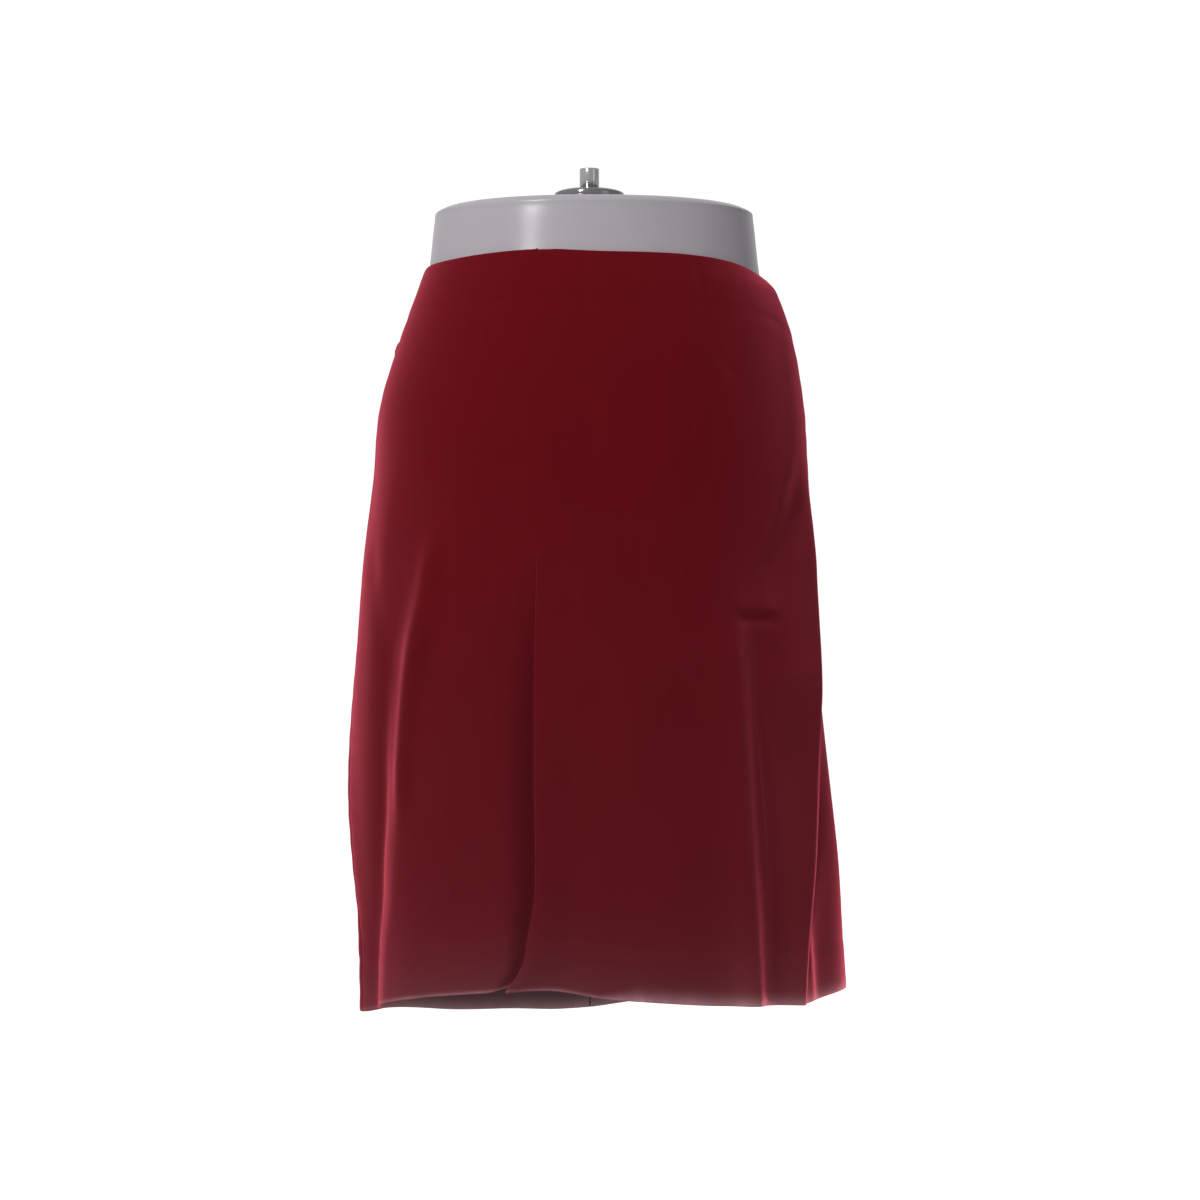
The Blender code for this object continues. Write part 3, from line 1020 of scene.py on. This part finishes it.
def skirt_wrong_side():
    """The flat back of the cloth: duller, with the weave bare."""
    known = bpy.data.materials.get("skirt_wrong_side_finished")
    if known:
        return known
    cloth = bpy.context.scene.skirt_cloth
    made, nodes, shader = new_material("skirt_wrong_side_finished")
    place = nodes.add("ShaderNodeUVMap", uv_map="cloth").outputs["UV"]
    nap = nodes.group(nap_group(), {"Place": place, "Fibre Size": cloth.fibre_size})
    twill = nodes.group(weave_group(), {"Place": place, "Yarn": cloth.yarn_pitch})
    shaded = uneven(nodes, nap.outputs["Patches"], cloth.wrong_side, 0.10)
    gaps = twill.outputs["Gaps"]
    coloured = darkened(nodes, gaps, shaded, cloth.wrong_side, *BARE_YARN_GAPS)
    bump = {"Height": twill.outputs["Height"], "Strength": 0.5, "Distance": 0.0001}
    roughness = nodes.spread(nap.outputs["Streaks"], 0.0, 1.0, 0.85, 0.97)
    values = {"Specular IOR Level": 0.05, "Sheen Weight": 0.15}
    finish_shader(nodes, shader, coloured, roughness, bump, values)
    return made


def form_plastic():
    """Lilac-grey moulded plastic with a satin skin."""
    form = bpy.context.scene.hip_form
    made, nodes, shader = new_material("form_plastic_finished")
    place = nodes.add("ShaderNodeTexCoord").outputs["Object"]
    clouded = nodes.spread(nodes.noise(place, 14.0), 0.3, 0.7)
    grain = nodes.noise(place, 900.0, detail=1.0)
    peel = nodes.noise(place, 120.0, detail=1.0)
    colour = uneven(nodes, clouded, form.colour, 0.03)
    height = nodes.maths("MULTIPLY_ADD", grain, 0.25, peel)
    bump = {"Height": height, "Strength": 0.15, "Distance": 0.0002}
    roughness = nodes.spread(clouded, 0.0, 1.0, 0.22, 0.28)
    values = {"Specular IOR Level": 0.30, "Sheen Weight": 0.35, "Sheen Roughness": 0.35}
    finish_shader(nodes, shader, colour, roughness, bump, values)
    return made


def turned_steel(name, grey):
    """Polished steel with the faint rings of its turning."""
    made, nodes, shader = new_material(name)
    place = nodes.add("ShaderNodeTexCoord").outputs["Object"]
    rings = nodes.add("ShaderNodeVectorMath", {0: place}, operation="MULTIPLY")
    rings.inputs[1].default_value = (1.0, 1.0, 40.0)
    lines = nodes.noise(rings.outputs[0], 220.0)
    haze = nodes.noise(place, 90.0, detail=3.0)
    roughness = nodes.spread(haze, 0.3, 0.7, 0.08, 0.16)
    bluer = 1.02
    colour = uneven(nodes, haze, (grey, grey, bluer * grey), 0.05)
    bump = {"Height": lines, "Strength": 0.05, "Distance": 0.00005}
    finish_shader(nodes, shader, colour, roughness, bump, {"Metallic": 1.0})
    return made


# Stage


def add_light(name, place, aim, size, power):
    data = bpy.data.lights.new(name, "AREA")
    data.shape = "RECTANGLE"
    data.size, data.size_y = size
    data.energy = power
    made = bpy.data.objects.new(name, data)
    bpy.context.scene.collection.objects.link(made)
    made.location = place
    made.visible_camera = False
    made.rotation_euler = (Vector(aim) - Vector(place)).to_track_quat("-Z", "Y").to_euler()
    return made


def pale_surround(stage):
    """Plain white to the eye, with a softer and darker room behind for the things it lights."""
    world = bpy.data.worlds.new("studio")
    bpy.context.scene.world = world
    world.use_nodes = True
    nodes = Nodes(world.node_tree)
    shown = world.node_tree.nodes["Background"]
    nodes.feed(shown, {"Color": (1.0, 1.0, 1.0, 1.0), "Strength": WHITE_STRENGTH})
    way = nodes.add("ShaderNodeTexCoord").outputs["Generated"]
    parts = nodes.add("ShaderNodeSeparateXYZ", {0: way}).outputs
    side = nodes.spread(parts["X"], *ROOM_SIDES, stage.room_right, stage.room_left)
    overhead = nodes.spread(parts["X"], *ROOM_ACROSS, *ROOM_OVERHEAD)
    underfoot = nodes.spread(parts["X"], *ROOM_ACROSS, *ROOM_UNDERFOOT)
    above = nodes.spread(parts["Z"], *ROOM_UPWARDS, underfoot, overhead)
    room = nodes.maths("MULTIPLY", side, above)
    back = nodes.spread(parts["Y"], *ROOM_BACKWARDS)
    glow = nodes.blend(back, room, stage.backdrop)
    room = nodes.add("ShaderNodeBackground", {"Color": (1.0, 1.0, 1.0, 1.0), "Strength": glow})
    seen = nodes.add("ShaderNodeLightPath").outputs["Is Camera Ray"]
    mixed = nodes.add("ShaderNodeMixShader", {0: seen, 1: room.outputs[0], 2: shown.outputs[0]})
    output = world.node_tree.nodes["World Output"]
    nodes.tree.links.new(mixed.outputs[0], output.inputs["Surface"])


def pale_floor(stage):
    build = bmesh.new()
    bmesh.ops.create_circle(build, cap_ends=True, segments=96, radius=FLOOR_RADIUS)
    floor = object_with_mesh("floor", build)
    floor.location = (0.0, 0.0, stage.floor_height)
    made, nodes, shader = new_material("pale_floor")
    place = nodes.add("ShaderNodeTexCoord").outputs["Object"]
    colour = nodes.mix(nodes.noise(place, 3.0), (0.86, 0.86, 0.86, 1), (0.90, 0.90, 0.90, 1))
    nodes.feed(shader, {"Base Color": colour, "Roughness": 0.9, "Specular IOR Level": 0.1})
    nodes.feed(shader, {"Emission Color": (1.0, 1.0, 1.0, 1.0)})
    nodes.feed(shader, {"Emission Strength": stage.floor_glow})
    floor.data.materials.append(made)
    floor.visible_diffuse = False
    floor.visible_glossy = False


def add_camera():
    data = bpy.data.cameras.new("camera")
    data.lens = LENS
    data.sensor_width = SENSOR_WIDTH
    camera = bpy.data.objects.new("camera", data)
    bpy.context.scene.collection.objects.link(camera)
    camera.location = EYE
    camera.rotation_euler = (np.pi / 2, 0.0, 0.0)
    bpy.context.scene.camera = camera


# Settings


def length_setting(name, description, default):
    return FloatProperty(name=name, description=description, default=default, unit="LENGTH")


def colour_setting(name, description, default):
    return FloatVectorProperty(
        name=name, description=description, default=default, subtype="COLOR"
    )


def amount_setting(name, description, default, subtype="NONE"):
    return FloatProperty(name=name, description=description, default=default, subtype=subtype)


class ClothSettings(bpy.types.PropertyGroup):
    """Sizes and colours of the skirt's cloth"""

    thickness: length_setting("Thickness", "Thickness of the cloth", 0.00075)
    edge_roll: length_setting("Edge roll", "Radius of a turned side edge", 0.00085)
    hem_roll: length_setting("Hem roll", "Radius of the hem and waist folds", 0.0010)
    thick_roll: length_setting(
        "Seam roll", "Radius of the hem fold where it takes in a seam", 0.0018
    )
    seam_gap: length_setting(
        "Seam gap", "Gap between pieces at a seam, below 0 where they press together", -0.00002
    )
    seam_turn: length_setting("Seam turning", "Width turned in at a side edge", 0.014)
    hem_turn: length_setting("Hem turning", "Depth turned up at the hem", 0.038)
    waist_turn: length_setting("Waist turning", "Depth turned in at the waist", 0.035)
    yarn_pitch: length_setting("Yarn pitch", "Distance between yarns", 0.00045)
    fibre_size: length_setting("Fibre size", "Size of a tuft of the nap", 0.0006)
    # The glow colour and height paint a band of light above the hem
    glow_height: length_setting("Fade height", "Height of the paler band at the hem", 0.40)
    colour: colour_setting("Colour", "Colour of the cloth", (0.105, 0.0034, 0.0058))
    hem_glow_colour: colour_setting(
        "Hem glow colour", "Colour of the painted glow of light at the hem", (0.126, 0.029, 0.036)
    )
    # The highlight colour and height paint a line of light along the hem's edge
    highlight_height: length_setting("Highlight height", "Height of the pale line at the hem", 0.006)
    hem_highlight_colour: colour_setting(
        "Hem highlight colour", "Colour of the painted highlight along the hem's edge", (0.60, 0.34, 0.36)
    )
    # The inside colour paints glare onto the turned-up hem inside
    inside_glare_colour: colour_setting(
        "Inside glare colour", "Colour of the turned-up hem inside, greyed by painted glare", (0.20, 0.126, 0.134)
    )
    wrong_side: colour_setting("Wrong side", "Colour of the cloth's back", (0.085, 0.012, 0.016))
    sheen: amount_setting("Sheen", "Strength of the nap's sheen", 1.0, "FACTOR")
    sheen_tint: colour_setting("Sheen colour", "Colour of the nap's sheen", (1.0, 0.14, 0.21))
    sheen_roughness: amount_setting(
        "Sheen spread", "How far round the sheen spreads", 0.46, "FACTOR"
    )


class FormSettings(bpy.types.PropertyGroup):
    """Colour of the hanging form"""

    colour: colour_setting("Colour", "Colour of the plastic", (0.352, 0.326, 0.354))


class StageSettings(bpy.types.PropertyGroup):
    """Floor and light of the stage"""

    floor_height: length_setting("Floor height", "Height of the floor", -1.25)
    floor_glow: amount_setting("Floor glow", "Light added to the floor", 0.75)
    room_left: amount_setting("Room, left", "Brightness of the room to the left", 0.60)
    room_right: amount_setting("Room, right", "Brightness of the room to the right", 0.46)
    backdrop: amount_setting("Backdrop", "Brightness of the room behind", 0.64)
    key: amount_setting("Key light", "Power of the main light", 25.0, "POWER")
    edge: amount_setting("Edge light", "Power of the light behind on the right", 0.25, "POWER")
    fill: amount_setting("Fill light", "Power of the light from the right", 1.0, "POWER")


# Operators


class SKIRT_OT_panel(bpy.types.Operator):
    """Make one piece of the skirt's cloth, laid on its solid's form"""

    bl_idname = "wrap_skirt.panel"
    bl_label = "Skirt panel"

    name: bpy.props.StringProperty(name="Name", description="Which piece", default="back_left")

    def execute(self, context):
        row = next(panel for panel in PANELS if panel[0] == self.name)
        made = cloth_panel(*row)
        return {"FINISHED"}


class SKIRT_OT_form(bpy.types.Operator):
    """Make the smooth hip form that fills the skirt out"""

    bl_idname = "wrap_skirt.form"
    bl_label = "Hip form"

    def execute(self, context):
        finish_piece(drawn_form(), "hip_form", "form_plastic", form_plastic())
        return {"FINISHED"}


class SKIRT_OT_rod(bpy.types.Operator):
    """Make the hanging rod and the domed flange at its foot"""

    bl_idname = "wrap_skirt.rod"
    bl_label = "Rod and flange"

    def execute(self, context):
        radius = ROD_HIGH.x
        rod = [
            (0.0, ROD_HIGH.z),
            *rounded(radius - ROD_EDGE, ROD_HIGH.z - ROD_EDGE, ROD_EDGE),
            (radius, ROD_LOW.z),
            (0.0, ROD_LOW.z),
        ]
        steel = turned_steel("rod_steel", ROD_GREY)
        finish_piece(turned("rod", rod), "hanging_rod", "chrome", steel)
        bore = radius + ROD_CLEARANCE
        rim = FLANGE_LOW.z + FLANGE_RIM
        rise = FLANGE_HIGH.z - FLANGE_LOW.z - FLANGE_RIM
        dome = [
            (bore + (FLANGE_HIGH.x - bore) * np.sin(turn), rim + rise * np.cos(turn))
            for turn in np.radians(np.linspace(0, 90, DOME_STEPS + 1))
        ]
        flange = [*dome, (FLANGE_HIGH.x, FLANGE_LOW.z), (bore, FLANGE_LOW.z), dome[0]]
        # Darker steel for the flange: painted shade for the dark room it reflects
        steel = turned_steel("flange_steel_shaded", FLANGE_SHADED_GREY)
        finish_piece(turned("flange", flange), "rod_flange", "chrome", steel)
        return {"FINISHED"}


class SKIRT_OT_stage(bpy.types.Operator):
    """Make the pale floor, the soft light and the camera"""

    bl_idname = "wrap_skirt.stage"
    bl_label = "Stage"

    def execute(self, context):
        stage = context.scene.skirt_stage
        context.scene.view_settings.view_transform = "Standard"
        pale_surround(stage)
        pale_floor(stage)
        middle = (0.0, 0.0, SKIRT_FOOT / 2)
        right_of_hem = (0.20, 0.0, -0.70)
        add_light("key", (-0.8, -1.4, 0.8), middle, (0.22, 1.1), stage.key)
        edge = add_light("edge", (0.45, 0.30, -0.82), right_of_hem, (0.1, 0.1), stage.edge)
        edge.data.spread = np.radians(EDGE_SPREAD_DEGREES)
        add_light("fill", (1.6, -1.2, -0.1), middle, (0.8, 1.3), stage.fill)
        add_camera()
        return {"FINISHED"}


class SKIRT_PT_sidebar(bpy.types.Panel):
    """The skirt's settings and the buttons that build it"""

    bl_idname = "SKIRT_PT_sidebar"
    bl_label = "Wrap skirt"
    bl_space_type = "VIEW_3D"
    bl_region_type = "UI"
    bl_category = "Wrap skirt"

    def draw(self, context):
        scene = context.scene
        for settings in (scene.skirt_cloth, scene.hip_form, scene.skirt_stage):
            box = self.layout.box()
            for name in settings.__annotations__:
                box.prop(settings, name)
        for panel in PANELS:
            button = self.layout.operator("wrap_skirt.panel", text=panel[0])
            button.name = panel[0]
        for name in ("form", "rod", "stage"):
            self.layout.operator(f"wrap_skirt.{name}")


SETTINGS = {
    "skirt_cloth": ClothSettings,
    "hip_form": FormSettings,
    "skirt_stage": StageSettings,
}
CLASSES = (
    *SETTINGS.values(),
    SKIRT_OT_panel,
    SKIRT_OT_form,
    SKIRT_OT_rod,
    SKIRT_OT_stage,
    SKIRT_PT_sidebar,
)


def register():
    for made in CLASSES:
        bpy.utils.register_class(made)
    for name, made in SETTINGS.items():
        setattr(bpy.types.Scene, name, PointerProperty(type=made))


def unregister():
    for name in SETTINGS:
        delattr(bpy.types.Scene, name)
    for made in reversed(CLASSES):
        bpy.utils.unregister_class(made)


def main():
    register()
    bpy.ops.wrap_skirt.form()
    for panel in PANELS:
        bpy.ops.wrap_skirt.panel(name=panel[0])
    bpy.ops.wrap_skirt.rod()
    bpy.ops.wrap_skirt.stage()


if __name__ == "__main__":
    main()
